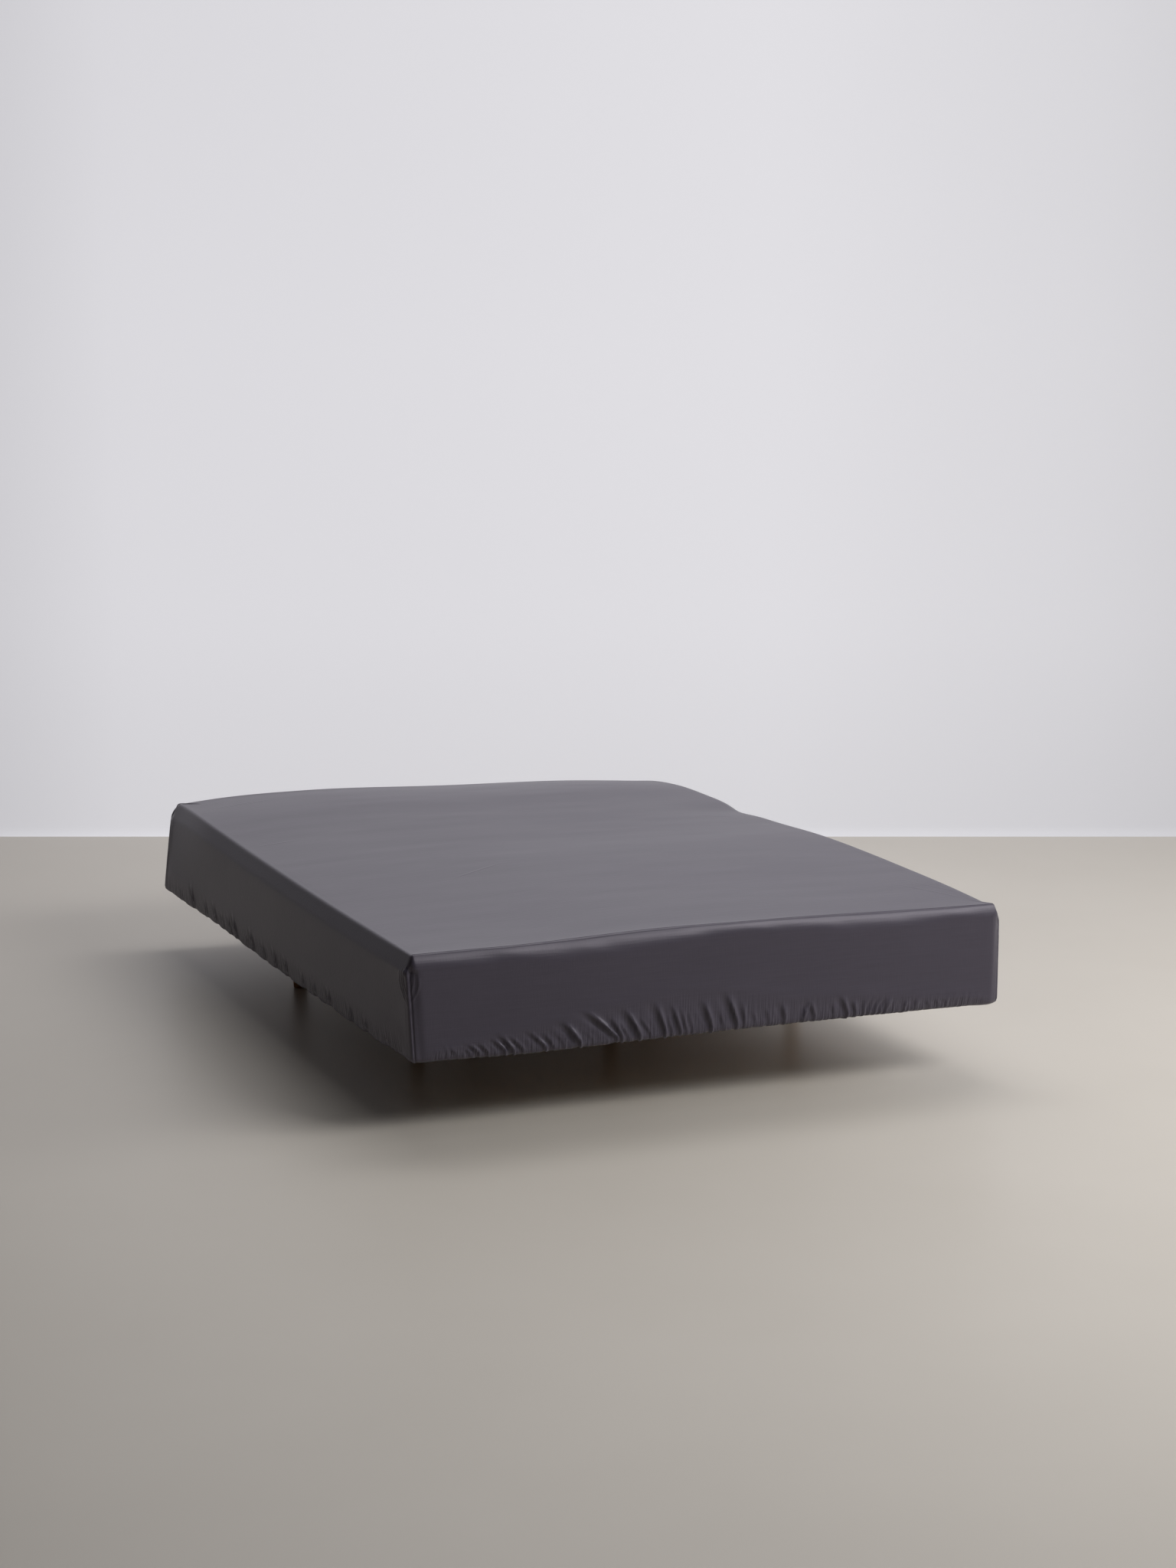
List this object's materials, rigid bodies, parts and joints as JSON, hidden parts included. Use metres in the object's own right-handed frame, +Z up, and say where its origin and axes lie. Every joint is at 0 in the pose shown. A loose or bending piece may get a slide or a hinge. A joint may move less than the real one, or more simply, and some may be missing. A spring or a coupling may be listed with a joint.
{
  "type": "fitted sheet on a mattress and legged bed base",
  "caption": "Dark grey sateen fitted sheet pulled smooth over a mattress, its elastic hem gathered and turned under, on a low board with short round wooden legs.",
  "frame": {"origin": "on the floor under the middle of the bed", "axes": "+Y along the bed from its foot to its head, +X to the right of someone who stands at the foot and looks at the head, +Z up"},
  "size_m": [1.4196, 2.01, 0.4232],
  "materials": {
    "sheet_fabric": "dark cool grey cotton sateen with a soft sheen",
    "mattress_fabric": "off-white woven ticking",
    "board_wood": "sanded plywood",
    "leg_wood": "oiled orange-brown wood, satin"
  },
  "bodies": {
    "root": {"fitted_sheet": "sheet_fabric", "mattress": "mattress_fabric", "base_board": "board_wood", "leg_1": "leg_wood", "leg_2": "leg_wood", "leg_3": "leg_wood", "leg_4": "leg_wood", "leg_5": "leg_wood", "leg_6": "leg_wood"}
  },
  "joints": []
}
